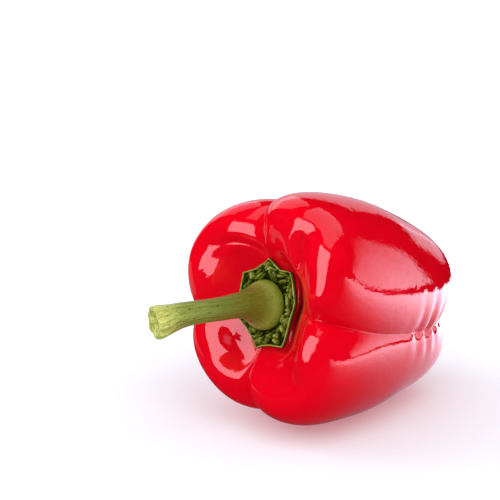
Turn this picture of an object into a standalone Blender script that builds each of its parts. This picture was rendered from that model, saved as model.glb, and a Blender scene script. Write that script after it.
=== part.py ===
"""A ripe bell pepper lying on its side: the fruit, the calyx that caps it and the cut stem.

Each piece is a ball whose points are moved onto the piece's own surface. The pepper is shaped standing on its
blossom end, with +Z along its core towards the stem, and is then laid down on two of its lobes, with the stem
pointing along -Y. Everything is in metres.
"""

import math

import bmesh
import bpy
import numpy as np
from mathutils import Matrix, Vector

# The fruit. A lobe's crest and a groove's floor, from the seat of the stem over the shoulder to the blossom
# end, as (distance from the core, height). The two lists run in step.
LOBE_CREST = (
    (0.0000, 0.0845), (0.0090, 0.0845), (0.0153, 0.0852), (0.0202, 0.0884), (0.0252, 0.0928), (0.0310, 0.0956),
    (0.0372, 0.0938), (0.0418, 0.0870), (0.0442, 0.0765), (0.0442, 0.0630), (0.0428, 0.0475), (0.0400, 0.0330),
    (0.0364, 0.0195), (0.0317, 0.0085), (0.0250, 0.0015), (0.0180, 0.0000), (0.0112, 0.0026), (0.0055, 0.0054),
    (0.0000, 0.0065),
)
GROOVE_FLOOR = (
    (0.0000, 0.0845), (0.0090, 0.0845), (0.0145, 0.0846), (0.0183, 0.0852), (0.0220, 0.0860), (0.0260, 0.0860),
    (0.0304, 0.0840), (0.0345, 0.0793), (0.0372, 0.0713), (0.0382, 0.0605), (0.0374, 0.0470), (0.0348, 0.0335),
    (0.0310, 0.0215), (0.0262, 0.0120), (0.0208, 0.0065), (0.0152, 0.0046), (0.0096, 0.0046), (0.0049, 0.0056),
    (0.0000, 0.0065),
)

# Four lobes, each lying between two grooves. Angles turn about the core, seen from the stem end.
GROOVE_ANGLES = np.radians((98.4, 198.5, 266.6, 360.4))
GROOVE_TWISTS = np.radians((15.0, -10.7, 3.3, -7.9))
GROOVE_DEPTHS = np.array((0.72, 0.54, 0.65, 1.00))
SHOULDER_REACH = np.array((0.0007, -0.0019, 0.0052, 0.0005))
FOOT_REACH = np.array((-0.0008, 0.0038, -0.0006, -0.0029))
SHOULDER_RISE = np.array((0.0002, -0.0016, -0.0005, 0.0))
FOOT_DROP = np.array((0.0, 0.0, -0.0005, 0.0025))
LEAN = (-0.0004, 0.0001)
LOBES = len(GROOVE_ANGLES)
SIDE_SQUARENESS = 0.68
GROOVE_SOFTNESS = 0.08

# Short creases on the shoulder, each as (place in lobes, depth as a share of a groove's).
SHOULDER_CREASES = ((0.55, 0.25), (1.50, 0.20), (2.45, 0.50), (3.58, 0.55))
CREASE_MIDDLE, CREASE_LENGTH, CREASE_WIDTH = 0.24, 0.11, 0.10

# The calyx. Its hem is a star: how far it spreads as a share of the fruit's outline, and its tips as
# (place in lobes, further spread).
HEM_SPREAD = 0.096
HEM_TIPS = ((0.44, 0.022), (1.20, 0.016), (1.96, 0.032), (2.44, 0.022), (3.14, 0.005), (3.53, 0.040), (3.95, 0.045))
TIP_WIDTH = 0.13
HEM_DIP, DIP_PLACE, DIP_WIDTH = 0.016, 2.80, 0.35
CALYX_THICKNESS = 0.0010
WART_RING, WART_RING_WIDTH = 0.76, 0.13
WART_HEIGHT, WART_COUNT = 0.0019, 22
HEM_CURL = 0.0004

# The stem, as (distance along it, radius), from the middle of its foot round the knob to the cut end.
STEM_OUTLINE = (
    (0.0000, 0.0000), (0.0000, 0.0050), (0.0003, 0.0078), (0.0017, 0.0091), (0.0037, 0.0092), (0.0061, 0.0083),
    (0.0089, 0.0068), (0.0122, 0.0056), (0.0162, 0.0049), (0.0220, 0.0045), (0.0300, 0.0043), (0.0380, 0.0044),
    (0.0435, 0.0049), (0.0475, 0.0056), (0.0500, 0.0058), (0.0507, 0.0049), (0.0503, 0.0028), (0.0498, 0.0000),
)
STEM_PATH = ((0.0, 0.0, 0.0), (0.0004, -0.0006, 0.0125), (-0.0006, -0.0016, 0.025), (-0.0034, -0.0031, 0.0375),
             (-0.0076, -0.0063, 0.0490))
STEM_RIBS, RIB_DEPTH = 5, 0.045
TIP_SAG = 0.0007

# How it lies: the stem end is raised, and the low spots of the two lobes that it lies on are pressed flat.
STEM_END_RISE = math.radians(10.4)
PRESSED_FLAT = 0.0004
CLEARANCE = 0.0004

# How finely each piece is divided, as (round, from pole to pole).
FRUIT_GRID = (72, 42)
CALYX_GRID = (96, 20)
STEM_GRID = (20, 28)


def spline(points, share):
    """A smooth curve through evenly spaced points, read at a share of its length from 0 to 1."""
    points = np.asarray(points)
    last = len(points) - 1
    place = np.clip(share, 0, 1) * last
    step = np.minimum(place.astype(int), last - 1)
    f = (place - step)[..., None]
    ends = np.vstack([2 * points[0] - points[1], points, 2 * points[-1] - points[-2]])
    a, b, c, d = (ends[step + k] for k in range(4))
    return 0.5 * (2 * b + (c - a) * f + (2 * a - 5 * b + 4 * c - d) * f**2 + (3 * b - a - 3 * c + d) * f**3)


def ease(x):
    """0 below 0, 1 above 1, and a smooth step between."""
    x = np.clip(x, 0, 1)
    return x * x * (3 - 2 * x)


def hump(x, middle, width):
    """1 at the middle, fading to nothing a few widths away."""
    return np.exp(-(((x - middle) / width) ** 2))


def lobes_apart(turn, place):
    """How far apart two places round the fruit are, in lobes, the shorter way."""
    return np.abs((turn - place + LOBES / 2) % LOBES - LOBES / 2)


def roundness(across):
    """0 at a groove and 1 at a lobe's crest, rising steeply beside the groove."""
    soft = GROOVE_SOFTNESS**2
    rise = (np.sin(np.pi * across) ** 2 + soft) ** (SIDE_SQUARENESS / 2)
    low, high = soft ** (SIDE_SQUARENESS / 2), (1 + soft) ** (SIDE_SQUARENESS / 2)
    return (rise - low) / (high - low)


def around(along, turn):
    """The angle about the core of a place in lobes. The grooves twist a little on their way down."""
    lobe = np.floor(turn).astype(int) % LOBES
    across = turn - np.floor(turn)
    starts = np.append(GROOVE_ANGLES, GROOVE_ANGLES[0] + 2 * np.pi)
    twists = np.append(GROOVE_TWISTS, GROOVE_TWISTS[0]) * ease((along[..., None] - 0.2) / 0.4)
    low = starts[lobe] + np.take_along_axis(twists, lobe[..., None], -1)[..., 0]
    high = starts[lobe + 1] + np.take_along_axis(twists, lobe[..., None] + 1, -1)[..., 0]
    return low + (high - low) * across


def crease_depth(along, turn):
    """How far the short creases on the shoulder sink, as a share of the way from crest to groove."""
    sunk = np.zeros_like(turn)
    for place, depth in SHOULDER_CREASES:
        sunk += depth * hump(along, CREASE_MIDDLE, CREASE_LENGTH) * np.exp(-lobes_apart(turn, place) / CREASE_WIDTH)
    return sunk


def shared(values, lobe, across):
    """A value kept at a lobe's crest, meeting its neighbour's half way at the groove between them."""
    own, before, after = (values[(lobe + k) % LOBES] for k in (0, -1, 1))
    edge = (own + np.where(across < 0.5, before, after)) / 2
    return edge + (own - edge) * ease(1 - np.abs(2 * across - 1))


def fruit_surface(along, turn):
    """The skin at a share of the way from the stem's seat to the blossom end, and at a place in lobes."""
    lobe = np.floor(turn).astype(int) % LOBES
    across = turn - np.floor(turn)
    crest = roundness(across)
    nearest = np.where(across < 0.5, lobe, (lobe + 1) % LOBES)
    sunk = (1 - crest) * GROOVE_DEPTHS[nearest] + crease_depth(along, turn)
    high, low = spline(LOBE_CREST, along), spline(GROOVE_FLOOR, along)
    radius, height = np.moveaxis(high + (low - high) * sunk[..., None], -1, 0)
    shoulder, foot = hump(along, 0.32, 0.20), hump(along, 0.74, 0.20)
    radius = radius + shared(SHOULDER_REACH, lobe, across) * shoulder + shared(FOOT_REACH, lobe, across) * foot
    height = height + (SHOULDER_RISE[lobe] * hump(along, 0.27, 0.12) - FOOT_DROP[lobe] * hump(along, 0.85, 0.15)) * crest
    angle = around(along, turn)
    shift = ease((along - 0.08) / 0.3)
    return np.stack(
        [radius * np.cos(angle) + LEAN[0] * shift, radius * np.sin(angle) + LEAN[1] * shift, height], -1
    )


def hem(turn):
    """How far the calyx spreads at a place in lobes, as a share of the fruit's outline."""
    tips = [spread * np.exp(-lobes_apart(turn, place) / TIP_WIDTH) for place, spread in HEM_TIPS]
    return HEM_SPREAD - HEM_DIP * hump(lobes_apart(turn, DIP_PLACE), 0, DIP_WIDTH) + np.max(tips, axis=0)


def calyx_thickness(out, turn):
    """Thin in the middle and at the hem, with a ring of warts between them."""
    angle = turn * 2 * np.pi / LOBES
    row = np.cos(WART_COUNT * angle + 1.5 * np.sin(3 * angle) + 4.0 * out)
    wart = WART_HEIGHT * hump(out, WART_RING, WART_RING_WIDTH) * (0.6 + 0.4 * row)
    return CALYX_THICKNESS + wart + HEM_CURL * ease((out - 0.85) / 0.15)


def calyx_surface(share, turn):
    """Out over the warty top, round the hem, and back along the skin that it lies on."""
    out = np.interp(share, (0.0, 0.72, 0.78, 1.0), (0.0, 1.0, 1.0, 0.0))
    top = np.interp(share, (0.72, 0.78), (1.0, 0.0))
    point = fruit_surface(out * hem(turn), turn)
    point[..., 2] += CLEARANCE + top * calyx_thickness(out, turn)
    return point


def stem_surface(share, turn):
    """The turned outline carried along the stem's path from the cut end to the foot, ribbed lengthwise."""
    run, radius = np.moveaxis(spline(STEM_OUTLINE, 1 - share), -1, 0)
    angle = turn * 2 * np.pi / LOBES
    length = STEM_OUTLINE[-3][0]
    part = np.clip(run / length, 0, 1)
    ribs = 1 + RIB_DEPTH * (0.3 + 1.2 * part) * np.cos(STEM_RIBS * angle + 0.8 * part) * ease(part / 0.3)
    sag = TIP_SAG * ease((part - 0.75) / 0.25) * radius / STEM_OUTLINE[-4][1]
    path = spline(STEM_PATH, part)
    step = 1e-3
    ahead = spline(STEM_PATH, np.minimum(part + step, 1)) - spline(STEM_PATH, np.maximum(part - step, 0))
    ahead /= np.linalg.norm(ahead, axis=-1, keepdims=True)
    side = np.cross(np.array((0.0, 1.0, 0.0)), ahead)
    side /= np.linalg.norm(side, axis=-1, keepdims=True)
    up = np.cross(ahead, side)
    round_it = (radius * ribs)[..., None] * (np.cos(angle)[..., None] * side + np.sin(angle)[..., None] * up)
    past_end = (run - part * length)[..., None] * ahead
    point = path + round_it + past_end - sag[..., None] * up
    point[..., 2] += LOBE_CREST[0][1] + 2 * CLEARANCE + CALYX_THICKNESS
    return point


def laying_down():
    """The turn that lays the standing pepper on its side, with its stem along -Y and a little upwards."""
    return Matrix.Rotation(math.pi / 2 - STEM_END_RISE, 4, "X")


def ball(name, grid, surface, spread_points=False):
    """A ball whose points are moved to a surface given from pole to pole and round the core."""
    body = bmesh.new()
    bmesh.ops.create_uvsphere(body, u_segments=grid[0], v_segments=grid[1], radius=1.0)
    mesh = bpy.data.meshes.new(name)
    body.to_mesh(mesh)
    body.free()
    points = np.empty(len(mesh.vertices) * 3, np.float32)
    mesh.vertices.foreach_get("co", points)
    x, y, z = points.reshape(-1, 3).astype(float).T
    share = np.arccos(np.clip(z, -1, 1)) / np.pi
    turn = np.arctan2(y, x) % (2 * np.pi) / (2 * np.pi) * grid[0]
    turn = np.round(turn) % grid[0] / grid[0] * LOBES
    if spread_points:
        turn = turn - np.sin(2 * np.pi * turn) / (4 * np.pi)
    mesh.vertices.foreach_set("co", surface(share, turn).astype(np.float32).ravel())
    mesh.transform(laying_down())
    mesh.shade_smooth()
    return mesh


def paint(name, colour, roughness):
    """A plain non-metallic finish."""
    material = bpy.data.materials.new(name)
    material.use_nodes = True
    shader = material.node_tree.nodes["Principled BSDF"]
    shader.inputs["Base Color"].default_value = (*colour, 1.0)
    shader.inputs["Roughness"].default_value = roughness
    shader.inputs["Metallic"].default_value = 0.0
    return material


def height_above_floor(mesh):
    """How high a mesh's lowest point is."""
    return min(vertex.co.z for vertex in mesh.vertices)


def main():
    for old in list(bpy.data.objects):
        bpy.data.objects.remove(old)
    pepper = bpy.data.collections.new("bell_pepper")
    bpy.context.scene.collection.children.link(pepper)

    meshes = {
        "fruit": ball("fruit", FRUIT_GRID, fruit_surface, spread_points=True),
        "calyx": ball("calyx", CALYX_GRID, calyx_surface),
        "stem": ball("stem", STEM_GRID, stem_surface),
    }
    paints = {
        "fruit": paint("ripe_skin", (0.62, 0.004, 0.012), 0.15),
        "calyx": paint("calyx_green", (0.10, 0.14, 0.02), 0.55),
        "stem": paint("stem_green", (0.24, 0.27, 0.06), 0.45),
    }

    floor = Matrix.Translation((0, 0, -height_above_floor(meshes["fruit"]) - PRESSED_FLAT))
    for name, mesh in meshes.items():
        mesh.transform(floor)
    for vertex in meshes["fruit"].vertices:
        vertex.co.z = max(vertex.co.z, 0.0)

    corners = [vertex.co for mesh in meshes.values() for vertex in mesh.vertices]
    middle = Vector(((min(c[k] for c in corners) + max(c[k] for c in corners)) / 2 for k in range(3)))
    for name, mesh in meshes.items():
        mesh.transform(Matrix.Translation((-middle.x, -middle.y, 0)))
        mesh.materials.append(paints[name])
        pepper.objects.link(bpy.data.objects.new(name, mesh))


main()
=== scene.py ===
# %% [markdown]
# # A ripe bell pepper, lying on its side
#
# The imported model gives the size, the place and the physics. This lesson dresses it: the same three grown
# pieces, drawn much more finely, each with a finish built from nodes, in a bright studio. All lengths are
# in metres.

import math

import bpy
import numpy as np
from mathutils import Matrix, Vector


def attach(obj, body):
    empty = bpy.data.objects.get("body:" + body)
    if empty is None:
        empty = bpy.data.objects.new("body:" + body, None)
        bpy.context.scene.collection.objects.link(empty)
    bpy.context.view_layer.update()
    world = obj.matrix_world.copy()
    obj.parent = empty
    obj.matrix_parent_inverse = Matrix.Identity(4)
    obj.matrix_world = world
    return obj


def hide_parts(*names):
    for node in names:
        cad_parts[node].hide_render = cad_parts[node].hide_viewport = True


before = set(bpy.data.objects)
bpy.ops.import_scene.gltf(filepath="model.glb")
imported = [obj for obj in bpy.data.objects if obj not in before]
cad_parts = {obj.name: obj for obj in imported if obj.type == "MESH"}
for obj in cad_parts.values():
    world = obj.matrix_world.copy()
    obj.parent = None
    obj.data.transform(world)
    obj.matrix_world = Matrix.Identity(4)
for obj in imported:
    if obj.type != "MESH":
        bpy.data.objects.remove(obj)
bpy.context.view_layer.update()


# %% [markdown]
# ## The curves everything is drawn with
#
# A pepper has no straight line and no true circle, so its outlines are a few chosen points with a smooth
# curve through them. A cubic spline does that: it passes through every point, so a point can be read off
# the real fruit and typed in. A curve with handles would do as well, but then the handles have to be placed
# too. Everything that comes and goes along the fruit uses one of two soft shapes: a step without a corner,
# or a bell.

# %% Splines, soft steps and bells
def spline(points, share):
    """A cubic for each stretch, whose slope at a point is half the step between its two neighbours."""
    points = np.asarray(points)
    last = len(points) - 1
    place = np.clip(share, 0, 1) * last
    step = np.minimum(place.astype(int), last - 1)
    f = (place - step)[..., None]
    ends = np.vstack([2 * points[0] - points[1], points, 2 * points[-1] - points[-2]])
    a, b, c, d = (ends[step + k] for k in range(4))
    return 0.5 * (2 * b + (c - a) * f + (2 * a - 5 * b + 4 * c - d) * f**2 + (3 * b - a - 3 * c + d) * f**3)


def ease(x):
    """3x^2 - 2x^3 between 0 and 1, and level on both sides."""
    x = np.clip(x, 0, 1)
    return x * x * (3 - 2 * x)


def hump(x, middle, width):
    """The bell curve exp(-((x - middle) / width)^2)."""
    return np.exp(-(((x - middle) / width) ** 2))


print("half a soft step:", ease(0.5), "and a bell one width off its middle:", round(hump(1, 0, 1), 2))

# %% [markdown]
# ## The fruit's measures
#
# A bell pepper is three or four seed chambers grown side by side. Each swells into a lobe, and where two
# chambers meet, a groove runs from the stem's seat over the shoulder to the blossom end. Sculpting would
# work too, but a formula keeps the grooves where they are measured: one outline for a lobe's crest, one for
# a groove's floor, and a blend between them.
#
# A place on the skin is two numbers. One is how far along it is, from 0 at the stem's seat to 1 at the
# blossom end. The other is the turn, which counts lobes round the core: 2.5 is the crest of the third lobe,
# and 3.0 is the groove after it. The outlines are pairs of radius and height, with the pepper standing on
# its blossom end.

# %% The two outlines
LOBE_CREST = (
    (0.0000, 0.0845), (0.0090, 0.0845), (0.0153, 0.0852), (0.0202, 0.0884), (0.0252, 0.0928),
    (0.0310, 0.0956), (0.0372, 0.0938), (0.0418, 0.0870), (0.0442, 0.0765), (0.0442, 0.0630),
    (0.0428, 0.0475), (0.0400, 0.0330), (0.0364, 0.0195), (0.0317, 0.0085), (0.0250, 0.0015),
    (0.0180, 0.0000), (0.0112, 0.0026), (0.0055, 0.0054), (0.0000, 0.0065),
)
GROOVE_FLOOR = (
    (0.0000, 0.0845), (0.0090, 0.0845), (0.0145, 0.0846), (0.0183, 0.0852), (0.0220, 0.0860),
    (0.0260, 0.0860), (0.0304, 0.0840), (0.0345, 0.0793), (0.0372, 0.0713), (0.0382, 0.0605),
    (0.0374, 0.0470), (0.0348, 0.0335), (0.0310, 0.0215), (0.0262, 0.0120), (0.0208, 0.0065),
    (0.0152, 0.0046), (0.0096, 0.0046), (0.0049, 0.0056), (0.0000, 0.0065),
)
GROOVE_ANGLES = np.radians((98.4, 198.5, 266.6, 360.4))
GROOVE_TWISTS = np.radians((15.0, -10.7, 3.3, -7.9))
TWIST_START, TWIST_LENGTH = 0.2, 0.4
GROOVE_DEPTHS = np.array((0.72, 0.54, 0.65, 1.00))
LOBES = len(GROOVE_ANGLES)
SEAT_HEIGHT = LOBE_CREST[0][1]
widest = max(radius for radius, height in LOBE_CREST)
print(LOBES, "lobes, the widest crest", 1000 * widest, "mm from the core")

# %% [markdown]
# ## Round a lobe
#
# A full lobe rises steeply out of its groove and is nearly level along its crest. A sine would be too
# round, so it is raised to a power below 1. Beside the deepest groove the lobes are fullest, so the power
# is lower there.

# %% From groove to crest
SIDE_SQUARENESS, FULLER_BY = 0.68, 0.058
GROOVE_SOFTNESS = 0.05


def roundness(across, nearest):
    """A power of sin(pi x) below 1: steep by a groove, level on a crest, steepest by the deepest groove."""
    soft = GROOVE_SOFTNESS**2
    beside_deepest = (nearest == len(GROOVE_DEPTHS) - 1) * ease(np.abs(2 * across - 1))
    power = (SIDE_SQUARENESS - FULLER_BY * beside_deepest) / 2
    rise = (np.sin(np.pi * across) ** 2 + soft) ** power
    low, high = soft**power, (1 + soft) ** power
    return (rise - low) / (high - low)


def around(along, turn):
    """The angle about the core: between the two grooves' own angles, which twist on their way down."""
    lobe = np.floor(turn).astype(int) % LOBES
    across = turn - np.floor(turn)
    starts = np.append(GROOVE_ANGLES, GROOVE_ANGLES[0] + 2 * np.pi)
    twisted = ease((along[..., None] - TWIST_START) / TWIST_LENGTH)
    twists = np.append(GROOVE_TWISTS, GROOVE_TWISTS[0]) * twisted
    low = starts[lobe] + np.take_along_axis(twists, lobe[..., None], -1)[..., 0]
    high = starts[lobe + 1] + np.take_along_axis(twists, lobe[..., None] + 1, -1)[..., 0]
    return low + (high - low) * across


def lobes_apart(turn, place):
    """The shorter way round between two places, where one lobe counts as 1."""
    return np.abs((turn - place + LOBES / 2) % LOBES - LOBES / 2)


def beside(turn, place, width):
    """A bell curve of the way round from a place."""
    return hump(lobes_apart(turn, place), 0, width)


print("from groove 3 to groove 1 is", lobes_apart(3.0, 1.0), "lobes")

# %% [markdown]
# ## Creases and the dimple's wall
#
# The lobes of this fruit are folded where they turn down into the dimple: three creases slant over the
# shoulder. On the camera's side the wall of the dimple also stands nearly upright. Both could be pulled
# into the mesh by hand, but then they would be lost whenever an outline changes. Each row of the creases
# holds where it is at the seat, where it is at the shoulder, its depth, its width, and the middle and
# length of its run along the fruit.

# %% The creases and the steep wall
SHOULDER_CREASES = (
    (0.004, 0.505, 0.197, 0.060, 0.20, 0.08),
    (2.416, 2.564, 0.538, 0.072, 0.20, 0.08),
    (3.404, 3.542, 0.810, 0.085, 0.26, 0.075),
)
CREASE_START, CREASE_END = 0.14, 0.32
CREASE_SOFTNESS = 0.012
WALL_SIDE, WALL_SPREAD, WALL_REACH = 2.98, 0.62, 1.6
WALL_FOOT, FOOT_ALONG = 0.0022, (0.125, 0.035)
WALL_TOP, TOP_ALONG = 0.0010, (0.215, 0.045)


def crease_depth(along, turn):
    """Each crease slants from a place at the seat to one at the shoulder, and is exp(-distance) across."""
    sunk = np.zeros_like(turn)
    slant = ease((along - CREASE_START) / (CREASE_END - CREASE_START))
    for at_seat, at_shoulder, depth, width, middle, length in SHOULDER_CREASES:
        place = at_seat + (at_shoulder - at_seat) * slant
        off = np.sqrt(lobes_apart(turn, place) ** 2 + CREASE_SOFTNESS**2)
        sunk += depth * hump(along, middle, length) * np.exp(-off / width)
    return sunk


def steep_wall(along, turn):
    """On the camera's side the dimple's wall stands up: its foot goes out, and its top comes inwards."""
    side = ease(WALL_REACH - lobes_apart(turn, WALL_SIDE) / WALL_SPREAD)
    return side * (WALL_FOOT * hump(along, *FOOT_ALONG) - WALL_TOP * hump(along, *TOP_ALONG))


print(len(SHOULDER_CREASES), "creases, and a wall that moves out by up to", 1000 * WALL_FOOT, "mm")

# %% [markdown]
# ## The whole surface
#
# No two lobes are alike. Each has its own reach at the shoulder and at the foot, and its own height at both
# ends, and a value changes to its neighbour's without a step where two lobes meet. The fruit also leans
# very slightly.

# %% The fruit's surface
SHOULDER_REACH, SHOULDER_ALONG = np.array((0.0007, -0.0019, 0.0052, 0.0005)), (0.32, 0.20)
LOW_REACH, LOW_ALONG = np.array((-0.0008, 0.0038, -0.0006, -0.0029)), (0.74, 0.20)
SHOULDER_RISE, RISE_ALONG = np.array((0.0002, -0.0016, -0.0005, 0.0)), (0.27, 0.12)
END_DROP, DROP_ALONG = np.array((0.0, 0.0, -0.0005, 0.0025)), (0.85, 0.15)
LEAN, LEAN_START, LEAN_LENGTH = (-0.0004, 0.0001), 0.08, 0.3


def shared(values, lobe, across):
    """A value kept at a lobe's crest, meeting its neighbour's half way at the groove between them."""
    own, before, after = (values[(lobe + k) % LOBES] for k in (0, -1, 1))
    edge = (own + np.where(across < 0.5, before, after)) / 2
    return edge + (own - edge) * ease(1 - np.abs(2 * across - 1))


def fruit_skin(along, turn, wall=1.0):
    """Crest and groove outlines, blended by how far from a groove the place is, turned about the core."""
    lobe = np.floor(turn).astype(int) % LOBES
    across = turn - np.floor(turn)
    nearest = np.where(across < 0.5, lobe, (lobe + 1) % LOBES)
    crest = roundness(across, nearest)
    sunk = (1 - crest) * GROOVE_DEPTHS[nearest] + crease_depth(along, turn)
    high, low = spline(LOBE_CREST, along), spline(GROOVE_FLOOR, along)
    radius, height = np.moveaxis(high + (low - high) * sunk[..., None], -1, 0)
    radius = radius + shared(SHOULDER_REACH, lobe, across) * hump(along, *SHOULDER_ALONG)
    radius = radius + shared(LOW_REACH, lobe, across) * hump(along, *LOW_ALONG)
    radius = radius + wall * steep_wall(along, turn)
    lifted = SHOULDER_RISE[lobe] * hump(along, *RISE_ALONG) - END_DROP[lobe] * hump(along, *DROP_ALONG)
    height = height + lifted * crest
    angle = around(along, turn)
    lean = ease((along - LEAN_START) / LEAN_LENGTH)
    x = radius * np.cos(angle) + LEAN[0] * lean
    y = radius * np.sin(angle) + LEAN[1] * lean
    return np.stack([x, y, height], -1)


one_crest = fruit_skin(np.linspace(0, 1, 50), np.full(50, 2.5))
reach = np.hypot(one_crest[:, 0], one_crest[:, 1]).max()
print("the third lobe's crest reaches", round(1000 * reach, 1), "mm out")

# %% [markdown]
# ## Where the calyx ends
#
# The green cap's edge is needed twice: for the cap, and for what the red skin does along it. It is a spread
# that is the same all round, a dip on the side where the lobes crowd it, and seven points, one for each
# sepal. Each point is exp(-distance), which is sharp at its tip and hollow beside it, as a drawn-out leaf
# is.

# %% The hem
HEM_SPREAD = 0.096
HEM_TIPS = (
    (0.44, 0.022), (1.20, 0.016), (1.96, 0.032), (2.44, 0.022), (3.14, 0.005), (3.53, 0.040),
    (3.95, 0.045),
)
TIP_WIDTH = 0.13
HEM_DIP, DIP_PLACE, DIP_WIDTH = 0.016, 2.80, 0.35


def hem(turn):
    """A base spread, less a dip on the tight side, plus the tallest of the tips, each exp(-distance)."""
    tips = [spread * np.exp(-lobes_apart(turn, place) / TIP_WIDTH) for place, spread in HEM_TIPS]
    return HEM_SPREAD - HEM_DIP * beside(turn, DIP_PLACE, DIP_WIDTH) + np.max(tips, axis=0)


longest = max(hem(place) for place, spread in HEM_TIPS)
print("the hem's longest tip ends", round(longest, 3), "of the way along")

# %% [markdown]
# ## Laying it down, and closing a skin
#
# The formulas stand the pepper on its blossom end, which makes them short. The real one lies on two lobes,
# stem end a little higher, so every finished piece gets the same turn and the same place, straight into its
# mesh. Each skin is a grid from pole to pole: the rows of quads go all the way round, and a fan of
# triangles closes each end.

# %% The pose
STEM_END_RISE = math.radians(10.4)
SEAT_PLACE = Vector((0.001252, 0.065470, 0.031771))
LAYING_DOWN = Matrix.Translation(SEAT_PLACE) @ Matrix.Rotation(math.pi / 2 - STEM_END_RISE, 4, "X")


def laid_down(points):
    """Every point turned a quarter round X, less the stem end's rise, and moved to the pepper's place."""
    matrix = np.array(LAYING_DOWN)
    return points @ matrix[:3, :3].T + matrix[:3, 3]


seat = laid_down(np.array((0.0, 0.0, SEAT_HEIGHT)))
print("the stem's seat lies", round(1000 * seat[2], 1), "mm above the table")

# %% The mesh helpers
def grid(rows, columns):
    """Two parameter grids: the share of the way from pole to pole, and the place round the core in lobes."""
    return np.meshgrid(np.linspace(0, 1, rows), np.arange(columns) * LOBES / columns, indexing="ij")


def skin(name, points, attributes):
    """A closed mesh over a grid of points, whose rows run from pole to pole: a pole, quads, a pole."""
    rows, columns = points.shape[:2]
    rings = points[1:-1].reshape(-1, 3)
    corners = np.vstack([points[0, :1], rings, points[-1, :1]])
    here = 1 + np.arange((rows - 2) * columns).reshape(rows - 2, columns)
    beside_it = np.roll(here, -1, axis=1)
    quads = np.stack([here[:-1], here[1:], beside_it[1:], beside_it[:-1]], -1).reshape(-1, 4)
    start, end = np.zeros(columns, int), np.full(columns, len(corners) - 1)
    caps = np.vstack([
        np.stack([start, here[0], beside_it[0]], -1),
        np.stack([end, beside_it[-1], here[-1]], -1),
    ])
    mesh = bpy.data.meshes.new(name)
    mesh.from_pydata(corners.tolist(), [], caps.tolist() + quads.tolist())
    for label, values in attributes.items():
        kind, field = ("FLOAT", "value") if values.ndim == 2 else ("FLOAT_VECTOR", "vector")
        layer = mesh.attributes.new(label, kind, "POINT")
        flat = np.concatenate([values[0, :1].ravel(), values[1:-1].ravel(), values[-1, :1].ravel()])
        layer.data.foreach_set(field, flat.astype(np.float32))
    mesh.shade_smooth()
    mesh.validate()
    piece = bpy.data.objects.new(name, mesh)
    bpy.context.scene.collection.objects.link(piece)
    print(name, "has", len(mesh.polygons), "faces")
    return piece


# %% [markdown]
# ## The shoulder's swells
#
# Between the grooves a real shoulder is uneven by a few millimetres. On a dull fruit nobody would see it,
# but a polished one bends every reflection there, so the swells decide where the bright patches lie. Each
# row holds how far along it is, its turn, its length, its width and its rise, which is below 0 for a
# hollow.

# %% The swells
SHOULDER_SWELLS = (
    (0.168, 0.720, 0.055, 0.22, 0.0031), (0.270, 0.444, 0.070, 0.16, -0.0026),
    (0.287, 0.076, 0.060, 0.15, -0.0015), (0.240, 0.867, 0.060, 0.12, 0.0006),
    (0.209, 2.835, 0.055, 0.20, 0.0050), (0.291, 2.911, 0.060, 0.12, 0.0026),
    (0.238, 2.672, 0.060, 0.15, 0.0017), (0.244, 3.125, 0.080, 0.13, 0.0036),
    (0.321, 3.290, 0.050, 0.14, 0.0002), (0.385, 3.353, 0.050, 0.12, 0.0027),
    (0.239, 3.769, 0.060, 0.12, -0.0011), (0.388, 3.640, 0.050, 0.14, 0.0009),
    (0.250, 1.550, 0.070, 0.30, 0.0010),
)


def swells(along, turn):
    """The shoulder's own unevenness: a sum of wide, low rises and hollows, each a bell both ways."""
    return sum(
        rise * hump(along, down, long) * beside(turn, place, wide)
        for down, place, long, wide, rise in SHOULDER_SWELLS
    )


print(len(SHOULDER_SWELLS), "swells, the highest", 1000 * max(row[-1] for row in SHOULDER_SWELLS), "mm")

# %% [markdown]
# ## The fruit's fine relief
#
# On a real pepper the skin is drawn tight over the lobes, and puckers only where it is pinched: in pleats
# across the groove near the blossom end. The grooves are pinched to a fine line down the shoulder, a ditch
# runs along the calyx where the lobes crowd it, and slow waves keep the rest from looking turned. A bump
# texture could only shade these, while a polished skin shows every one of them in its reflections, so they
# are real relief.

# %% Pleats, pinches and waves
PUCKER_GROOVE, PUCKER_WIDTH, PUCKER_PLACE, PUCKER_LENGTH = 3.0, 0.13, 0.625, 0.05
PUCKER_DEPTH, PUCKERS_DOWN, PUCKER_SHARPNESS = 0.0009, 25.6, 3
PUCKER_SWAY, SWAYS_ROUND = 0.4, 9
PINCH_DEPTH, PINCH_WIDTH, PINCH_PLACE, PINCH_LENGTH = 0.0014, 0.022, 0.34, 0.20
TIGHT_SIDE, TIGHT_SPREAD = 2.98, 0.42
DITCH_OFFSET, DITCH_WIDTH, DITCH_DEPTH = 0.006, 0.009, 0.0014
WAVE_HEIGHT, WAVE_SEED, WAVE_COUNT, WAVES_FINEST = 0.00018, 3, 14, 7
WAVES_RISE, WAVES_FALL = 0.3, 0.1


def waves(along, turn, seed, count, finest):
    """A sum of sines of random direction and phase, whole numbers of them round the core, so no seam."""
    pick = np.random.default_rng(seed)
    total = np.zeros_like(turn)
    for _ in range(count):
        round_it, down_it = pick.integers(1, finest + 1), pick.uniform(-finest, finest)
        total += np.sin(2 * np.pi * (round_it * turn / LOBES + down_it * along) + pick.uniform(0, 2 * np.pi))
    return total / math.sqrt(count)


def pleats(along, turn):
    """Across one groove, inside a bell both ways: 1 - 2|cos|^3, which is broad ridges, narrow valleys."""
    phase = np.pi * PUCKERS_DOWN * (along - PUCKER_PLACE) + PUCKER_SWAY * np.sin(SWAYS_ROUND * turn)
    at_groove = beside(turn, PUCKER_GROOVE, PUCKER_WIDTH) * hump(along, PUCKER_PLACE, PUCKER_LENGTH)
    return PUCKER_DEPTH * (1 - 2 * np.abs(np.cos(phase)) ** PUCKER_SHARPNESS) * at_groove


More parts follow.
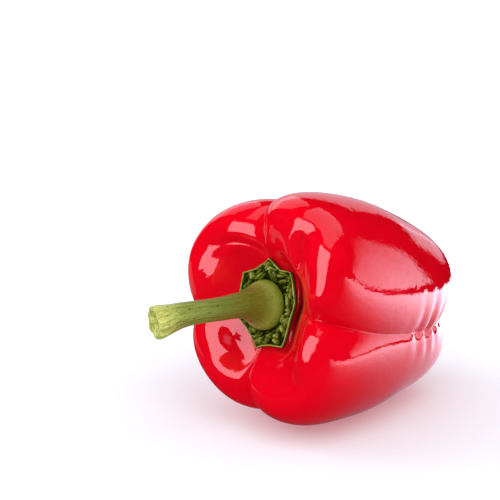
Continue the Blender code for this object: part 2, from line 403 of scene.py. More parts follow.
def fruit_relief(along, turn):
    """The pleats, less the pinched grooves and the ditch by the hem, plus the swells and slow waves."""
    from_groove = np.exp(-lobes_apart(turn, np.round(turn)) / PINCH_WIDTH)
    pinch = PINCH_DEPTH * hump(along, PINCH_PLACE, PINCH_LENGTH) * from_groove
    at_hem = hump(along, hem(turn) + DITCH_OFFSET, DITCH_WIDTH)
    ditch = DITCH_DEPTH * at_hem * beside(turn, TIGHT_SIDE, TIGHT_SPREAD)
    slow = waves(along, turn, WAVE_SEED, WAVE_COUNT, WAVES_FINEST)
    slow = slow * ease(along / WAVES_RISE) * ease((1 - along) / WAVES_FALL)
    return pleats(along, turn) - pinch - ditch + swells(along, turn) + WAVE_HEIGHT * slow


# %% [markdown]
# ## The fruit
#
# The relief is added away from a point in the fruit's middle. The grid's rows gather towards the shoulder
# and its columns towards the grooves, where the shape turns fastest, because an even grid would need twice
# the faces. The mesh also carries three values for the finish: where the skin is corky, where the gap beside
# the calyx is painted dark as painted shade, and how far along a place is. What would go below the table is
# pressed flat on it.

# %% Model the fruit
FRUIT_ROWS, FRUIT_COLUMNS = 300, 320
ROWS_GATHER = ((0.0, 0.05, 0.32, 0.60, 1.0), (0.0, 0.08, 0.19, 0.42, 1.0))
COLUMNS_GATHER = 4 * np.pi
FRUIT_MIDDLE = np.array((0.0, 0.0, 0.045))
CORK_OFFSET, CORK_WIDTH = 0.019, 0.0035
GAP_OFFSET, GAP_WIDTH, GAP_SPREAD = 0.004, 0.009, TIGHT_SPREAD + 0.2
SCAR_STRENGTH, SCAR_WIDTH = 0.8, 0.018

along, turn = grid(FRUIT_ROWS, FRUIT_COLUMNS)
along = np.interp(along, *ROWS_GATHER)
turn = turn - np.sin(2 * np.pi * turn) / COLUMNS_GATHER
flesh = fruit_skin(along, turn)
outward = flesh - FRUIT_MIDDLE
outward /= np.linalg.norm(outward, axis=-1, keepdims=True)
flesh = laid_down(flesh + outward * fruit_relief(along, turn)[..., None])
flesh[..., 2] = np.maximum(flesh[..., 2], 0.0)
corky = hump(along, hem(turn) + CORK_OFFSET, CORK_WIDTH) * beside(turn, TIGHT_SIDE, TIGHT_SPREAD)
corky = np.maximum(corky, SCAR_STRENGTH * hump(along, 1.0, SCAR_WIDTH))
# Painted shade: where the skin is painted dark in the gap at the foot of the cap's hem, on the crowded side.
gap_shade = hump(along, hem(turn) + GAP_OFFSET, GAP_WIDTH) * beside(turn, TIGHT_SIDE, GAP_SPREAD)
fruit = skin("fruit_skin", flesh, {"corky": corky, "gap_shade": gap_shade, "along": along})

# %% [markdown]
# ## The calyx's warts
#
# The green cap is what is left of the flower. Round the stem it is crumpled into a ring of warts. They are
# too many to place by hand and too crowded for a noise texture, so each ring holds a number of domes at
# scattered places, the highest one wins wherever they meet, and fine folds run over them. Each row holds a
# ring's share of the way from the stem to the hem, and how many domes it has. Each row of the folds' bends
# holds how strong it is, its waves in x and in y, and whether it shifts with the fold.

# %% The warts
WART_ROWS = ((0.56, 12), (0.68, 16), (0.80, 20), (0.92, 22))
WART_SEED, WART_SIZE = 11, 0.105
STEP_SCATTER, RING_SCATTER = 0.4, 0.06
SIZE_RANGE, STRENGTH_RANGE = (0.65, 1.35), (0.3, 1.0)
FOLDS_ACROSS, FOLD_STRENGTH = (17.0, 31.0, 52.0), 12.0
FOLD_BENDS = ((1.5, 9, 7, 1), (1.1, -8, 13, 0))
DOME_SHARE, FOLD_SHARE, WART_FLOOR = 0.50, 0.55, 0.15


def warts(out, turn):
    """Crowded domes, each 1 - (distance to its middle / size)^2, the highest one counting, and fine folds."""
    pick = np.random.default_rng(WART_SEED)
    angle = turn * 2 * np.pi / LOBES
    x, y = out * np.cos(angle), out * np.sin(angle)
    dome = np.zeros_like(out)
    for ring, count in WART_ROWS:
        for step in range(count):
            heading = 2 * np.pi * (step + pick.uniform(-STEP_SCATTER, STEP_SCATTER)) / count
            middle = ring + pick.uniform(-RING_SCATTER, RING_SCATTER)
            size = WART_SIZE * pick.uniform(*SIZE_RANGE)
            off = ((x - middle * np.cos(heading)) ** 2 + (y - middle * np.sin(heading)) ** 2) / size**2
            dome = np.maximum(dome, pick.uniform(*STRENGTH_RANGE) * np.clip(1 - off, 0, 1))
    folds = np.zeros_like(out)
    for across in FOLDS_ACROSS:
        heading, phase = pick.uniform(0, 2 * np.pi, 2)
        bend = sum(by * np.sin(in_x * x + in_y * y + shifts * phase) for by, in_x, in_y, shifts in FOLD_BENDS)
        ridges = 1 - np.abs(np.sin(across * (x * np.cos(heading) + y * np.sin(heading)) + bend))
        folds += ridges * FOLD_STRENGTH / across
    return np.sqrt(dome) * DOME_SHARE + folds * FOLD_SHARE - WART_FLOOR


print(sum(count for ring, count in WART_ROWS), "warts in", len(WART_ROWS), "rings")

# %% [markdown]
# ## The calyx
#
# The cap is a thin leaf drawn tight on the fruit, with a ditch inside its rolled hem. Solidify could
# thicken a sheet, but the cap's underside has to follow the fruit, so it is the fruit's own formula, and
# only the thickness on top is new. One grid makes both sides: it goes out over the top, round the hem, and
# back underneath.

# %% Model the calyx
CALYX_ROWS, CALYX_COLUMNS = 200, 440
CALYX_THICKNESS, CLEARANCE = 0.0010, 0.0004
WART_HEIGHT = 0.0027
RING_MIDDLE, RING_WIDTH, RING_FADE = 0.76, 0.24, 0.08
HEM_CURL, CURL_START, CURL_LENGTH, CURL_RIDGE = 0.0005, 0.93, 0.05, 0.6
TOP_SHARE, EDGE_SHARE = 0.82, 0.86
CAP_WALL = 0.25


def calyx_top(out, turn):
    """Thin leaf, plus the wart ring, plus a rolled hem; and how much of a ridge each place is."""
    ring = hump(out, RING_MIDDLE, RING_WIDTH) * ease((1.0 - out) / RING_FADE)
    crumple = warts(out, turn)
    curl = ease((out - CURL_START) / CURL_LENGTH)
    rise = CALYX_THICKNESS + WART_HEIGHT * ring * crumple + HEM_CURL * curl
    return rise, np.maximum(crumple * ring, CURL_RIDGE * curl)


share, turn = grid(CALYX_ROWS, CALYX_COLUMNS)
out = np.interp(share, (0.0, TOP_SHARE, EDGE_SHARE, 1.0), (0.0, 1.0, 1.0, 0.0))
top = np.interp(share, (TOP_SHARE, EDGE_SHARE), (1.0, 0.0))
leaf = fruit_skin(out * hem(turn), turn, wall=CAP_WALL)
rise, crumple = calyx_top(out, turn)
leaf[..., 2] += CLEARANCE + top * rise
# The ridge value also sets the cap's painted shade and painted highlight.
calyx = skin("calyx_cap", laid_down(leaf), {"out": out, "ridge": crumple * top})

# %% [markdown]
# ## The stem's outline and ribs
#
# The stem swells into a round knob where it held the fruit, narrows, then flares to the cut. It is ribbed
# lengthwise, and its cut end is lumpy, as a soft stalk is where it is cut. A lathe would make the outline
# but not the bend, so the outline's radius is carried along a bent path. The outline's pairs are a run and
# a radius, and each row of ribs or lumps is a strength, a count round the stem, and a phase or a twist.

# %% The stem's measures
STEM_ROWS, STEM_COLUMNS = 260, 220
STEM_OUTLINE = (
    (0.0000, 0.0000), (0.0000, 0.0055), (0.0002, 0.0084), (0.0010, 0.0093), (0.0025, 0.0092),
    (0.0044, 0.0084), (0.0065, 0.0071), (0.0092, 0.0058), (0.0125, 0.0050), (0.0165, 0.0046),
    (0.0220, 0.0043), (0.0300, 0.0042), (0.0380, 0.0044), (0.0435, 0.0050), (0.0475, 0.0058),
    (0.0500, 0.0059), (0.0509, 0.0050), (0.0503, 0.0028), (0.0494, 0.0000),
)
STEM_LENGTH, FLARE_RADIUS = max(run for run, radius in STEM_OUTLINE), 0.0058
STEM_PATH = (
    (0.0, 0.0, 0.0), (0.0004, 0.0005, 0.0125), (-0.0006, -0.0010, 0.025), (-0.0034, -0.0029, 0.0375),
    (-0.0076, -0.0063, 0.0490),
)
STEM_RIBS, RIB_DEPTH, RIB_TWIST, RIBS_START = 5, 0.030, 0.8, 0.3
RIB_AT_KNOB, RIB_GROWTH = 0.3, 1.2
FINE_RIBS, FINE_START = ((0.008, 23, 3), (0.006, 37, -2)), 0.2
END_LUMPS = ((0.6, 3, 1.1), (1.0, 7, -0.7), (0.5, 11, 2.0))
LUMP_DEPTH, LUMPS_START, LUMPS_LENGTH = 0.055, 0.82, 0.18
END_SAG, SAG_START, SAG_LENGTH = 0.0007, 0.75, 0.25


def ribbed(angle, part):
    """1 plus a cosine of the angle that deepens along the stem, plus fine cosines and lumps at the cut."""
    depth = RIB_DEPTH * (RIB_AT_KNOB + RIB_GROWTH * part) * ease(part / RIBS_START)
    ribs = 1 + depth * np.cos(STEM_RIBS * angle + RIB_TWIST * part)
    fine = sum(strength * np.cos(count * angle + twist * part) for strength, count, twist in FINE_RIBS)
    lumps = sum(strength * np.cos(count * angle + phase) for strength, count, phase in END_LUMPS)
    lumpy = LUMP_DEPTH * lumps * ease((part - LUMPS_START) / LUMPS_LENGTH)
    return ribs + fine * ease(part / FINE_START) + lumpy


print("the stem is", 1000 * STEM_LENGTH, "mm long, with", STEM_RIBS, "ribs")

# %% [markdown]
# ## The stem
#
# Each ring of the outline stands square to the path: one side direction comes from the path's own
# direction, and the other from both. The mesh also carries how far along a place is, a place in the unbent
# stem, which the streaks of the finish follow, and how much of the cut face it is.

# %% Model the stem
PATH_STEP = 1e-3
CUT_EDGE, CUT_SOFT, CUT_STRENGTH, CUT_SHARE = 0.0050, 0.0012, 0.55, 0.15


def stem_skin(share, turn):
    """The outline from the cut end to the foot, ribbed by a cosine of the angle, carried along the path."""
    run, radius = np.moveaxis(spline(STEM_OUTLINE, 1 - share), -1, 0)
    angle = turn * 2 * np.pi / LOBES
    part = np.clip(run / STEM_LENGTH, 0, 1)
    before, after = np.maximum(part - PATH_STEP, 0), np.minimum(part + PATH_STEP, 1)
    ahead = spline(STEM_PATH, after) - spline(STEM_PATH, before)
    ahead /= np.linalg.norm(ahead, axis=-1, keepdims=True)
    side = np.cross(np.array((0.0, 1.0, 0.0)), ahead)
    side /= np.linalg.norm(side, axis=-1, keepdims=True)
    up = np.cross(ahead, side)
    spoke = np.cos(angle)[..., None] * side + np.sin(angle)[..., None] * up
    past_end = (run - part * STEM_LENGTH)[..., None] * ahead
    sag = END_SAG * ease((part - SAG_START) / SAG_LENGTH) * radius / FLARE_RADIUS
    point = spline(STEM_PATH, part) + (radius * ribbed(angle, part))[..., None] * spoke + past_end
    point = point - sag[..., None] * up
    point[..., 2] += SEAT_HEIGHT + 2 * CLEARANCE + CALYX_THICKNESS
    grain = np.stack([radius * np.cos(angle), radius * np.sin(angle), run], -1)
    cut = CUT_STRENGTH * ease((CUT_EDGE - radius) / CUT_SOFT) * (share < CUT_SHARE)
    return point, part, grain, cut


share, turn = grid(STEM_ROWS, STEM_COLUMNS)
stalk, part, grain, cut = stem_skin(share, turn)
stem = skin("stem_stalk", laid_down(stalk), {"part": part, "grain": grain, "cut": cut})

# %% [markdown]
# ## Finishes
#
# Node materials are built by a few small helpers, each of which adds one node, links it and hands back its
# output, so that each finish below reads like a recipe. The same trees could be made by hand in the shader
# editor. A range is always four numbers: from low, from high, to low, to high.

# %% Material helpers
MIX_SHARE, MIX_FIRST, MIX_SECOND, MIX_RESULT = 0, 6, 7, 2


def finish(name, **sockets):
    """A Principled finish. Each socket is set by its name, with _ for a space."""
    material = bpy.data.materials.new(name)
    material.use_nodes = True
    shader = material.node_tree.nodes["Principled BSDF"]
    for socket, value in sockets.items():
        shader.inputs[socket.replace("_", " ")].default_value = value
    return material, material.node_tree, shader


def node(tree, kind, values=None, **settings):
    """One node, with its settings and the values of its unlinked sockets."""
    made = tree.nodes.new(kind)
    for key, value in settings.items():
        setattr(made, key, value)
    for socket, value in (values or {}).items():
        made.inputs[socket].default_value = value
    return made


def feed(tree, source, socket):
    """A link where the source is a node's output, and a plain value where it isn't."""
    if isinstance(source, bpy.types.NodeSocket):
        tree.links.new(source, socket)
    else:
        socket.default_value = source


def object_place(tree):
    """The place in the object's own space."""
    return node(tree, "ShaderNodeTexCoord").outputs["Object"]


def attribute(tree, name, output="Fac"):
    """A value that the mesh carries."""
    return node(tree, "ShaderNodeAttribute", attribute_name=name).outputs[output]


# %% Pattern helpers
def noise(tree, place, scale, detail, roughness=0.5):
    """Cloudy noise, as a value from 0 to 1."""
    made = node(tree, "ShaderNodeTexNoise", {"Scale": scale, "Detail": detail, "Roughness": roughness})
    tree.links.new(place, made.inputs["Vector"])
    return made.outputs["Fac"]


def ranged(tree, source, low, high, to_low, to_high, smooth=False):
    """A value's range from low to high, stretched to another range, straight or as a soft step."""
    values = {"From Min": low, "From Max": high, "To Min": to_low, "To Max": to_high}
    made = node(tree, "ShaderNodeMapRange", values)
    made.interpolation_type = "SMOOTHSTEP" if smooth else "LINEAR"
    tree.links.new(source, made.inputs["Value"])
    return made.outputs["Result"]


def product(tree, first, second):
    """Two values multiplied."""
    made = node(tree, "ShaderNodeMath", operation="MULTIPLY")
    tree.links.new(first, made.inputs[0])
    tree.links.new(second, made.inputs[1])
    return made.outputs["Value"]


def ramp(tree, source, stops):
    """A colour ramp through (place, colour) stops."""
    made = tree.nodes.new("ShaderNodeValToRGB")
    while len(made.color_ramp.elements) < len(stops):
        made.color_ramp.elements.new(0.5)
    for element, (place, colour) in zip(made.color_ramp.elements, stops):
        element.position = place
        element.color = (*colour, 1.0)
    tree.links.new(source, made.inputs["Fac"])
    return made.outputs["Color"]


def grey(*stops):
    """Stops of a ramp whose colours are all grey, which is a curve for a plain value."""
    return [(place, (level, level, level)) for place, level in stops]


def mixed(tree, share, first, second, blend="MIX"):
    """Two colours, the second by its share. Each is a node's output or a plain colour."""
    made = node(tree, "ShaderNodeMix", data_type="RGBA", blend_type=blend)
    tree.links.new(share, made.inputs[MIX_SHARE])
    feed(tree, first, made.inputs[MIX_FIRST])
    feed(tree, second, made.inputs[MIX_SECOND])
    return made.outputs[MIX_RESULT]


def roughen(tree, shader, height, strength, depth):
    """Relief too fine for the mesh, as a bump of the given depth."""
    bump = node(tree, "ShaderNodeBump", {"Distance": depth})
    feed(tree, strength, bump.inputs["Strength"])
    tree.links.new(height, bump.inputs["Height"])
    tree.links.new(bump.outputs["Normal"], shader.inputs["Normal"])


def wear(piece, material):
    """The piece gets its finish."""
    piece.data.materials.append(material)
    print(piece.name, "wears", material.name, "with", len(material.node_tree.nodes), "nodes")


# %% [markdown]
# ## Ripe skin
#
# The skin is one clear red under a waxy gloss, very slightly mottled. A little light spreads under it, which
# keeps the grooves from going black. A thin corky line runs beside the calyx, and the gap at the cap's foot
# is painted dark as painted shade, and the gloss goes off there. The bump is the skin's orange-peel grain,
# stronger towards the blossom end, where it breaks up the edges of the reflections.

# %% Ripe skin
DEEP_RED, CLEAR_RED = (0.76, 0.0002, 0.009), (0.84, 0.0003, 0.013)
CORK_BROWN, GAP_PAINTED_SHADE = (0.42, 0.10, 0.015, 1), (0.03, 0.004, 0.002, 1)
MOTTLE_SCALE, PEEL_SCALE, PEEL_DEPTH = 45.0, 480.0, 0.00009
GAP_GLOSS, PEEL_GROWS = (0.2, 0.8, 0.5, 0.0), (0.30, 0.50, 0.45, 1.0)

ripe, tree, shader = finish(
    "ripe_skin", Roughness=0.05, IOR=1.45,
    Subsurface_Weight=0.12, Subsurface_Radius=(1.0, 0.02, 0.04), Subsurface_Scale=0.002,
)
place = object_place(tree)
mottle = noise(tree, place, MOTTLE_SCALE, detail=4.0, roughness=0.6)
colour = ramp(tree, mottle, ((0.30, DEEP_RED), (0.70, CLEAR_RED)))
colour = mixed(tree, attribute(tree, "corky"), colour, CORK_BROWN)
in_gap_shade = attribute(tree, "gap_shade")
# Painted shade: the skin is painted nearly black in the gap under the cap's hem.
colour = mixed(tree, in_gap_shade, colour, GAP_PAINTED_SHADE)
tree.links.new(colour, shader.inputs["Base Color"])
tree.links.new(ranged(tree, in_gap_shade, *GAP_GLOSS), shader.inputs["Specular IOR Level"])
peel = noise(tree, place, PEEL_SCALE, detail=2.0)
stronger = ranged(tree, attribute(tree, "along"), *PEEL_GROWS)
roughen(tree, shader, peel, stronger, PEEL_DEPTH)
wear(fruit, ripe)

# %% [markdown]
# ## Calyx green
#
# The green is painted pale on the warts' crowns and on the hem, which is painted highlight, and nearly black
# in the hollows between them, which is painted shade. Both follow the mesh's own ridge value, so a wart is
# pale on its crown however it is turned, and the gloss comes up with it. The pores are a fine bump.

# %% Calyx green
# From nearly black, painted shade in the hollows, to pale, painted highlight on the crowns and the hem.
CAP_GREEN_SHADE_AND_HIGHLIGHT = (
    (0.10, (0.014, 0.018, 0.001)), (0.30, (0.095, 0.120, 0.005)), (0.52, (0.23, 0.29, 0.018)),
    (0.80, (0.48, 0.62, 0.14)),
)
RIDGE_GLOSS = (0.15, 0.6, 0.0, 0.6)
PORE_SCALE, PORE_DEPTH, PORE_STRENGTH = 1400.0, 0.0002, 0.8

green, tree, shader = finish("calyx_green", Roughness=0.26, IOR=1.45)
ridge = attribute(tree, "ridge")
# Painted light: the ridge value sets painted shade in the hollows and painted highlight on the crowns.
tree.links.new(ramp(tree, ridge, CAP_GREEN_SHADE_AND_HIGHLIGHT), shader.inputs["Base Color"])
tree.links.new(ranged(tree, ridge, *RIDGE_GLOSS), shader.inputs["Specular IOR Level"])
pores = noise(tree, object_place(tree), PORE_SCALE, detail=3.0)
roughen(tree, shader, pores, PORE_STRENGTH, PORE_DEPTH)
wear(calyx, green)

# %% [markdown]
# ## Stem green
#
# The stalk has painted shade at its foot and just behind the knob, and a painted highlight round the knob's
# crest, and it turns yellowish towards the cut.
# Streaks run along it: they are a noise stretched some twenty times lengthwise, on the unbent stem's own
# coordinates, so they bend with it. Over them lie dark specks, and on the cut face a pithy mottle.

# %% Stem green
# Painted shade at 0.00 and from 0.16 to 0.26 along, and a painted highlight at 0.09 on the knob's crest.
STALK_GREEN_SHADE_AND_HIGHLIGHT = (
    (0.00, (0.11, 0.16, 0.008)), (0.05, (0.19, 0.26, 0.018)), (0.09, (0.25, 0.31, 0.045)),
    (0.16, (0.16, 0.17, 0.010)), (0.26, (0.14, 0.16, 0.012)), (0.50, (0.17, 0.22, 0.026)),
    (0.80, (0.28, 0.34, 0.055)), (0.95, (0.60, 0.64, 0.15)),
)
STREAK_COLOURS = ((0.35, (0.55, 0.45, 0.32)), (0.52, (1, 1, 1)), (0.72, (1.25, 1.3, 1.4)))
STREAKS_GROW, SPECKS_START = grey((0.10, 0.15), (0.35, 0.45), (0.85, 0.85)), grey((0.66, 0), (0.71, 0.8))
PITH_COLOURS = ((0.36, (0.13, 0.11, 0.02)), (0.48, (0.40, 0.42, 0.09)), (0.62, (0.84, 0.86, 0.28)))
SPECK_BROWN = (0.045, 0.030, 0.006, 1)
STREAK_SCALE, STREAK_STRETCH, SPECK_SCALE, PITH_SCALE = 1500.0, (1.0, 1.0, 0.045), 1500.0, 700.0
STREAK_DEPTH, STREAK_STRENGTH = 0.0003, 0.9

stalk_green, tree, shader = finish("stem_green", Roughness=0.27, Specular_IOR_Level=0.36)
down = attribute(tree, "part")
grain = attribute(tree, "grain", "Vector")
stretched = node(tree, "ShaderNodeMapping", {"Scale": STREAK_STRETCH})
tree.links.new(grain, stretched.inputs["Vector"])
streaks = noise(tree, stretched.outputs["Vector"], STREAK_SCALE, detail=4.0, roughness=0.7)
# The stalk's green, with its painted shade and painted highlight, by the share along.
plain = ramp(tree, down, STALK_GREEN_SHADE_AND_HIGHLIGHT)
streak_share, streak_colour = ramp(tree, down, STREAKS_GROW), ramp(tree, streaks, STREAK_COLOURS)
streaked = mixed(tree, streak_share, plain, streak_colour, "MULTIPLY")
specks = ramp(tree, noise(tree, grain, SPECK_SCALE, detail=1.0), SPECKS_START)
spotted = mixed(tree, specks, streaked, SPECK_BROWN)
pith = ramp(tree, noise(tree, grain, PITH_SCALE, detail=3.0), PITH_COLOURS)
tree.links.new(mixed(tree, attribute(tree, "cut"), spotted, pith), shader.inputs["Base Color"])
roughen(tree, shader, streaks, STREAK_STRENGTH, STREAK_DEPTH)
wear(stem, stalk_green)

# %% [markdown]
# ## Riding on the frame
#
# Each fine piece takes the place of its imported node, and rides on the one rigid body, because stem, cap and
# fruit are grown together.

# %% Attach the pieces
for piece, packed, slot in (
    (fruit, "fruit", "ripe_skin"), (calyx, "calyx", "calyx_green"), (stem, "stem", "stem_green"),
):
    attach(piece, "root")
    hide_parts(packed)
    print(piece.name, "rides on the root in place of", packed)

# %% [markdown]
# ## The studio
#
# A polished skin shows the whole room, so the room is what gives this pepper its look: a white table and a
# white surround, but few bright things where the skin can mirror them. Those are the glowing table on the
# right, a dim patch of table on the left, a low wide screen on the right that fades upwards, and five soft
# boxes. A photographer would set them the same way, but here a sheet can also be left out of everything
# except the mirrors.

# %% Sheets and the floor
HALF_FLOOR = 3.0
FLOOR_WHITE, FLOOR_GLOW = (0.80, 0.82, 0.88, 1), (0.90, 0.93, 1, 1)
FLOOR_PAINTED_GLOW = (0.05, 0.30, 0.19, 0.8)


def sheet(name, corners, material, only_mirrored=True):
    """A four-cornered sheet. Where it is only mirrored, the camera and the soft light don't see it."""
    mesh = bpy.data.meshes.new(name)
    mesh.from_pydata(corners, [], [(0, 1, 2, 3)])
    mesh.materials.append(material)
    made = bpy.data.objects.new(name, mesh)
    bpy.context.scene.collection.objects.link(made)
    if only_mirrored:
        made.visible_camera = False
        made.visible_diffuse = False
        made.visible_shadow = False
    return made


# The floor glows by itself, which is painted light. The glow is dim under and near the pepper and full from
# 0.3 m out, so a painted shadow lies round the pepper besides the lamps' own shadows.
white, tree, shader = finish(
    "studio_white", Base_Color=FLOOR_WHITE, Roughness=0.8, Specular_IOR_Level=0.0, Emission_Color=FLOOR_GLOW,
)
from_middle = node(tree, "ShaderNodeVectorMath", operation="LENGTH")
tree.links.new(object_place(tree), from_middle.inputs[0])
# Painted glow that grows away from the middle, where the pepper lies.
floor_painted_glow = ranged(tree, from_middle.outputs["Value"], *FLOOR_PAINTED_GLOW, smooth=True)
tree.links.new(floor_painted_glow, shader.inputs["Emission Strength"])
floor_corners = [(HALF_FLOOR * x, HALF_FLOOR * y, 0.0) for x, y in ((-1, -1), (1, -1), (1, 1), (-1, 1))]
floor = sheet("studio_floor", floor_corners, white, only_mirrored=False)
floor.visible_glossy = False
floor.visible_diffuse = False
print("the floor is", 2 * HALF_FLOOR, "m wide")

# %% [markdown]
# ## What the skin mirrors below
#
# The real floor can't be what the skin mirrors, because its brightness is set by how it looks to the
# camera. So two glowing sheets lie a hair below it for the mirrors alone. The one on the right brightens
# away from the pepper, and is dim close to it, where a real table lies in the pepper's shade.

# %% The table in the mirrors
LILAC_WHITE, WHITE, BLACK = (1, 0.92, 1.10, 1), (1, 1, 1, 1), (0, 0, 0, 1)
TABLE_HEADING = (0, 0, math.radians(-75))
TABLE_RIGHT = ((-0.35, 0.25), (1.3, 0.60), (1.3, -0.9), (-0.35, -0.9))
TABLE_LEFT = ((-0.60, -0.20), (-0.13, -0.10), (-0.13, 0.25), (-0.60, 0.25))
RIGHT_DEPTH, LEFT_DEPTH = 0.001, 0.0005
TABLE_BRIGHTENS, PEPPER_SHADE = (-0.04, 0.30, 0.05, 5.4), (0.04, 0.12, 0.45, 1.0)
LEFT_BRIGHTNESS = 0.35

glow, tree, shader = finish(
    "table_glow", Base_Color=BLACK, Roughness=1.0, Specular_IOR_Level=0.0, Emission_Color=LILAC_WHITE,
)
here = object_place(tree)
headed = node(tree, "ShaderNodeMapping", {"Rotation": TABLE_HEADING})
tree.links.new(here, headed.inputs["Vector"])
apart = node(tree, "ShaderNodeSeparateXYZ")
tree.links.new(headed.outputs["Vector"], apart.inputs["Vector"])
farther = ranged(tree, apart.outputs["X"], *TABLE_BRIGHTENS, smooth=True)
from_pepper = node(tree, "ShaderNodeVectorMath", operation="LENGTH")
tree.links.new(here, from_pepper.inputs[0])
shade = ranged(tree, from_pepper.outputs["Value"], *PEPPER_SHADE)
tree.links.new(product(tree, farther, shade), shader.inputs["Emission Strength"])
sheet("table_glow", [(x, y, -RIGHT_DEPTH) for x, y in TABLE_RIGHT], glow)

left_glow, tree, shader = finish(
    "left_glow", Base_Color=BLACK, Roughness=1.0, Emission_Color=WHITE, Emission_Strength=LEFT_BRIGHTNESS,
)
sheet("table_left", [(x, y, -LEFT_DEPTH) for x, y in TABLE_LEFT], left_glow)
print("two sheets stand for the table in the mirrors")

# %% [markdown]
# ## The side screen
#
# This screen gives the broad soft panel on the pepper's side. It fades upwards, so the panel has no hard
# top, and it is dimmer at its near end. It starts a little above the table, and the slit between the two is
# the dark line that runs through the panel.

# %% The side screen
SCREEN_FOOT, SCREEN_TOP = 0.030, 0.62
NEAR_END, FAR_END = (0.07, 0.306), (1.30, 0.60)
SCREEN_FADES, NEAR_END_DIMS = (0.02, 0.32, 3.9, 0.0), (0.07, 0.20, 0.60, 1.0)

screen_white, tree, shader = finish(
    "screen_white", Base_Color=BLACK, Roughness=1.0, Specular_IOR_Level=0.0, Emission_Color=LILAC_WHITE,
)
apart = node(tree, "ShaderNodeSeparateXYZ")
tree.links.new(object_place(tree), apart.inputs["Vector"])
upwards = ranged(tree, apart.outputs["Z"], *SCREEN_FADES, smooth=True)
nearer = ranged(tree, apart.outputs["X"], *NEAR_END_DIMS, smooth=True)
tree.links.new(product(tree, upwards, nearer), shader.inputs["Emission Strength"])
screen_corners = [
    (*NEAR_END, SCREEN_FOOT), (*FAR_END, SCREEN_FOOT), (*FAR_END, SCREEN_TOP), (*NEAR_END, SCREEN_TOP),
]
sheet("side_screen", screen_corners, screen_white)
print("the screen stands", round(math.hypot(*NEAR_END), 2), "m from the pepper at its near end")

# %% [markdown]
# ## The surround
#
# The camera sees pure white, the soft light on the skin comes from a dimmer white, and the mirrors see
# almost nothing, because a white room mirrored from every side would turn the red to pink.

# %% The surround
SEEN_BRIGHTNESS, LIT_BRIGHTNESS, MIRRORED_BRIGHTNESS = 1.05, 0.70, 0.005

world = bpy.data.worlds.new("studio")
world.use_nodes = True
tree = world.node_tree
tree.nodes.clear()
to_camera, to_skin, in_mirrors = (
    node(tree, "ShaderNodeBackground", {"Color": WHITE, "Strength": brightness}).outputs[0]
    for brightness in (SEEN_BRIGHTNESS, LIT_BRIGHTNESS, MIRRORED_BRIGHTNESS)
)
seen = node(tree, "ShaderNodeLightPath")
mirror_mix, camera_mix = node(tree, "ShaderNodeMixShader"), node(tree, "ShaderNodeMixShader")
tree.links.new(seen.outputs["Is Glossy Ray"], mirror_mix.inputs[0])
tree.links.new(to_skin, mirror_mix.inputs[1])
tree.links.new(in_mirrors, mirror_mix.inputs[2])
tree.links.new(seen.outputs["Is Camera Ray"], camera_mix.inputs[0])
tree.links.new(mirror_mix.outputs[0], camera_mix.inputs[1])
tree.links.new(to_camera, camera_mix.inputs[2])
tree.links.new(camera_mix.outputs[0], node(tree, "ShaderNodeOutputWorld").inputs["Surface"])
bpy.context.scene.world = world
print("the surround has", len(tree.nodes), "nodes")

# %% [markdown]
# ## Lamps
#
# Each lamp stands at a compass angle and a height angle from the pepper, at a distance. Its brightness is
# set as the brightness of its face, because that is what a reflection shows; an area lamp's power is that
# times its area times pi. Five are only mirrored: a tall window in front, a strip overhead, and three dim
# sheets behind and at the left. Three only light the red itself, so they leave no patch on the skin.

# %% Soft boxes
LAMP_CENTRE = Vector((0, 0, 0.045))
ONLY_MIRRORED = (
    ("front_window", -3.5, 26.3, 0.8, (0.55, 0.80), 5.5, (1, 0.96, 1.06)),
    ("overhead_strip", 186, 82, 0.9, (0.40, 1.3), 1.3, (1, 0.95, 1.15)),
    ("back_sheet", -129, 10, 0.9, (1.04, 0.46), 0.7, (1, 0.95, 1.1)),
    ("left_sheet", -114, 36, 0.9, (0.60, 0.70), 0.8, (1, 0.93, 1.1)),
    ("low_strip", -164, 3, 0.9, (0.22, 0.14), 0.9, (1, 0.95, 1.1)),
)
ONLY_LIGHTING = (
    ("fill_above", 76, 50, 1.2, (1.1, 1.1), 1.2, (1, 1, 1)),
    ("fill_left", -60, 26, 1.2, (0.7, 0.7), 2.5, (1, 1, 1)),
    ("fill_front", 14, 24, 1.2, (0.7, 0.7), 2.4, (1, 1, 1)),
)


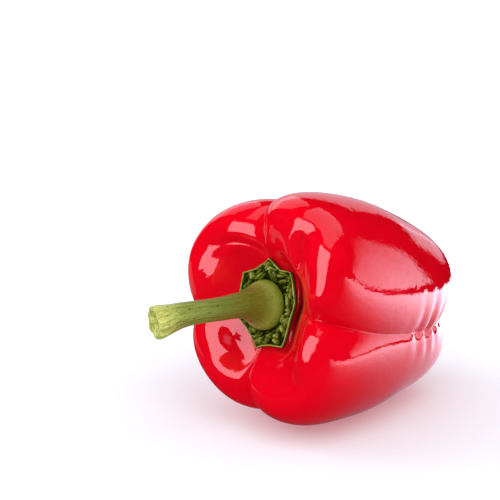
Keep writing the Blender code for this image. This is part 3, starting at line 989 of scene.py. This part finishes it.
def soft_box(name, compass, height, distance, size, brightness, tint, mirrored):
    """A rectangular lamp facing the pepper. Compass 0 is along -Y, as the stem points, and 90 along +X."""
    heading, rise = math.radians(compass), math.radians(height)
    way = Vector((math.sin(heading) * math.cos(rise), -math.cos(heading) * math.cos(rise), math.sin(rise)))
    light = bpy.data.lights.new(name, "AREA")
    light.shape = "RECTANGLE"
    light.size, light.size_y = size
    light.energy = brightness * size[0] * size[1] * math.pi
    light.color = tint
    lamp = bpy.data.objects.new(name, light)
    lamp.location = LAMP_CENTRE + way * distance
    lamp.rotation_euler = way.to_track_quat("Z", "Y").to_euler()
    lamp.visible_camera = False
    lamp.visible_glossy = mirrored
    lamp.visible_diffuse = not mirrored
    bpy.context.scene.collection.objects.link(lamp)
    print(name, "gives", round(light.energy, 2), "W")


for row in ONLY_MIRRORED:
    soft_box(*row, mirrored=True)
for row in ONLY_LIGHTING:
    soft_box(*row, mirrored=False)

# %% [markdown]
# ## The camera
#
# It looks at the stem end from the pepper's right, a little from above, with a long lens. Its aim is set by
# where the middle of the calyx falls in the picture, because that is the one point that is easy to find
# again.

# %% Place the camera
PICTURE_SIZE, SENSOR_WIDTH = 500, 36
AZIMUTH, ELEVATION = math.radians(44.42), math.radians(14.65)
DISTANCE, PIXELS_PER_METRE = 0.653, 2711.0
CALYX_HEIGHT = 0.086
CALYX_SEEN_AT = (266.8, 304.9)

back = Vector((
    math.sin(AZIMUTH) * math.cos(ELEVATION), -math.cos(AZIMUTH) * math.cos(ELEVATION), math.sin(ELEVATION),
))
right = Vector((math.cos(AZIMUTH), math.sin(AZIMUTH), 0))
up = back.cross(right)
focal = PIXELS_PER_METRE * DISTANCE
sideways = (CALYX_SEEN_AT[0] - PICTURE_SIZE / 2) / focal * DISTANCE
upwards = (PICTURE_SIZE / 2 - CALYX_SEEN_AT[1]) / focal * DISTANCE
calyx_middle = Vector(laid_down(np.array((0.0, 0.0, CALYX_HEIGHT))))

camera_data = bpy.data.cameras.new("camera")
camera_data.lens = focal / PICTURE_SIZE * SENSOR_WIDTH
camera_data.clip_start, camera_data.clip_end = 0.01, 10
camera = bpy.data.objects.new("camera", camera_data)
camera.location = calyx_middle + back * DISTANCE - right * sideways - up * upwards
camera.rotation_euler = (-back).to_track_quat("-Z", "Y").to_euler()
bpy.context.scene.collection.objects.link(camera)
bpy.context.scene.camera = camera
bpy.context.scene.view_settings.view_transform = "Standard"
print("the lens is", round(camera_data.lens), "mm, at", DISTANCE, "m")
